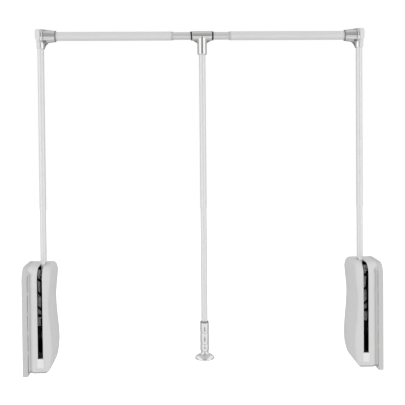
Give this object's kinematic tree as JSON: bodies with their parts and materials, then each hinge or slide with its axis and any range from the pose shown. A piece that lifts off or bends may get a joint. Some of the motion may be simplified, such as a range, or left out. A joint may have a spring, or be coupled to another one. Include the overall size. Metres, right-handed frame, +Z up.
{
  "type": "pull down closet rod",
  "caption": "Wardrobe lift: a telescopic clothes rail on two spring-assisted arms that swing forwards and down from wall housings, with a hanging pull handle.",
  "frame": {"origin": "centre of the left housing's four screw holes, on the wardrobe's left side", "axes": "+X to the right along the rail, +Y into the wardrobe, +Z up"},
  "size_m": [0.876, 0.1292, 0.842],
  "materials": {
    "housing_plastic": "fine moulded texture, soft sheen",
    "cap_plastic": "smooth moulded",
    "bumper_plastic": "soft smooth",
    "satin_rail": "satin anodised",
    "arm_paint": "silver powder coat",
    "chrome": "polished",
    "ring_rubber": "matt",
    "black_steel": "black phosphate",
    "spring_steel": "black spring steel",
    "zinc_steel": "zinc plated"
  },
  "bodies": {
    "left_housing": {"left_wall_plate": "housing_plastic", "left_cover": "housing_plastic", "left_cover_clips": "housing_plastic", "left_bumper": "bumper_plastic", "left_frame": "black_steel", "left_frame_screws": "zinc_steel", "left_axle": "zinc_steel", "left_axle_clip": "black_steel", "left_stop_pin": "zinc_steel", "left_guide_rod": "zinc_steel", "left_anchor_pin": "zinc_steel"},
    "left_plunger": {"left_plunger": "zinc_steel", "left_lift_spring": "spring_steel"},
    "left_arm": {"left_lever": "zinc_steel", "left_lift_cam": "black_steel", "left_pivot_bush": "bumper_plastic", "left_arm_tube": "arm_paint", "left_corner_fitting": "chrome", "left_corner_cap": "cap_plastic", "left_corner_grub": "black_steel", "left_outer_rod": "satin_rail", "left_rod_bush": "cap_plastic"},
    "right_housing": {"right_wall_plate": "housing_plastic", "right_cover": "housing_plastic", "right_cover_clips": "housing_plastic", "right_bumper": "bumper_plastic", "right_frame": "black_steel", "right_frame_screws": "zinc_steel", "right_axle": "zinc_steel", "right_axle_clip": "black_steel", "right_stop_pin": "zinc_steel", "right_guide_rod": "zinc_steel", "right_anchor_pin": "zinc_steel"},
    "right_plunger": {"right_plunger": "zinc_steel", "right_lift_spring": "spring_steel"},
    "right_arm": {"right_lever": "zinc_steel", "right_lift_cam": "black_steel", "right_pivot_bush": "bumper_plastic", "right_arm_tube": "arm_paint", "right_corner_fitting": "chrome", "right_corner_cap": "cap_plastic", "right_corner_grub": "black_steel", "right_outer_rod": "satin_rail", "right_rod_bush": "cap_plastic"},
    "centre_rail": {"inner_rod": "satin_rail", "tee_rings": "ring_rubber"},
    "pull_handle": {"tee_fitting": "chrome", "tee_grub": "black_steel", "handle_tube": "arm_paint", "handle_grip": "chrome", "grip_disc": "chrome"}
  },
  "joints": [
    {"name": "arm_swing", "type": "hinge", "parent": "left_housing", "child": "left_arm", "pos_m": [0.043, 0, -0.043], "axis": [1, 0, 0], "range_deg": [0, 118], "stiffness_Nm_per_rad": 10, "springref_deg": -28.65},
    {"name": "left_plunger_slide", "type": "slide", "parent": "left_housing", "child": "left_plunger", "axis": [0, 0, 1], "range_m": [0, 0.0301], "deforming": ["left_lift_spring"]},
    {"name": "left_rail_slide", "type": "slide", "parent": "left_arm", "child": "centre_rail", "axis": [1, 0, 0], "range_m": [-0.035, 0.162]},
    {"name": "right_rail_slide", "type": "slide", "parent": "centre_rail", "child": "right_arm", "axis": [1, 0, 0], "range_m": [-0.035, 0.162]},
    {"name": "handle_swing", "type": "hinge", "parent": "centre_rail", "child": "pull_handle", "pos_m": [0.4406, 0, 0.694], "axis": [1, 0, 0], "continuous": true},
    {"name": "right_housing_pivot", "type": "hinge", "parent": "right_arm", "child": "right_housing", "pos_m": [0.833, 0, -0.043], "axis": [1, 0, 0], "range_deg": [-118, 0]},
    {"name": "right_plunger_slide", "type": "slide", "parent": "right_housing", "child": "right_plunger", "axis": [0, 0, 1], "range_m": [0, 0.0301], "deforming": ["right_lift_spring"]}
  ],
  "couplings": [
    {"joint": "left_plunger_slide", "follows": "arm_swing", "m_per_rad": 0.014567},
    {"joint": "right_housing_pivot", "follows": "arm_swing", "ratio": -1},
    {"joint": "right_plunger_slide", "follows": "arm_swing", "m_per_rad": 0.014567}
  ]
}
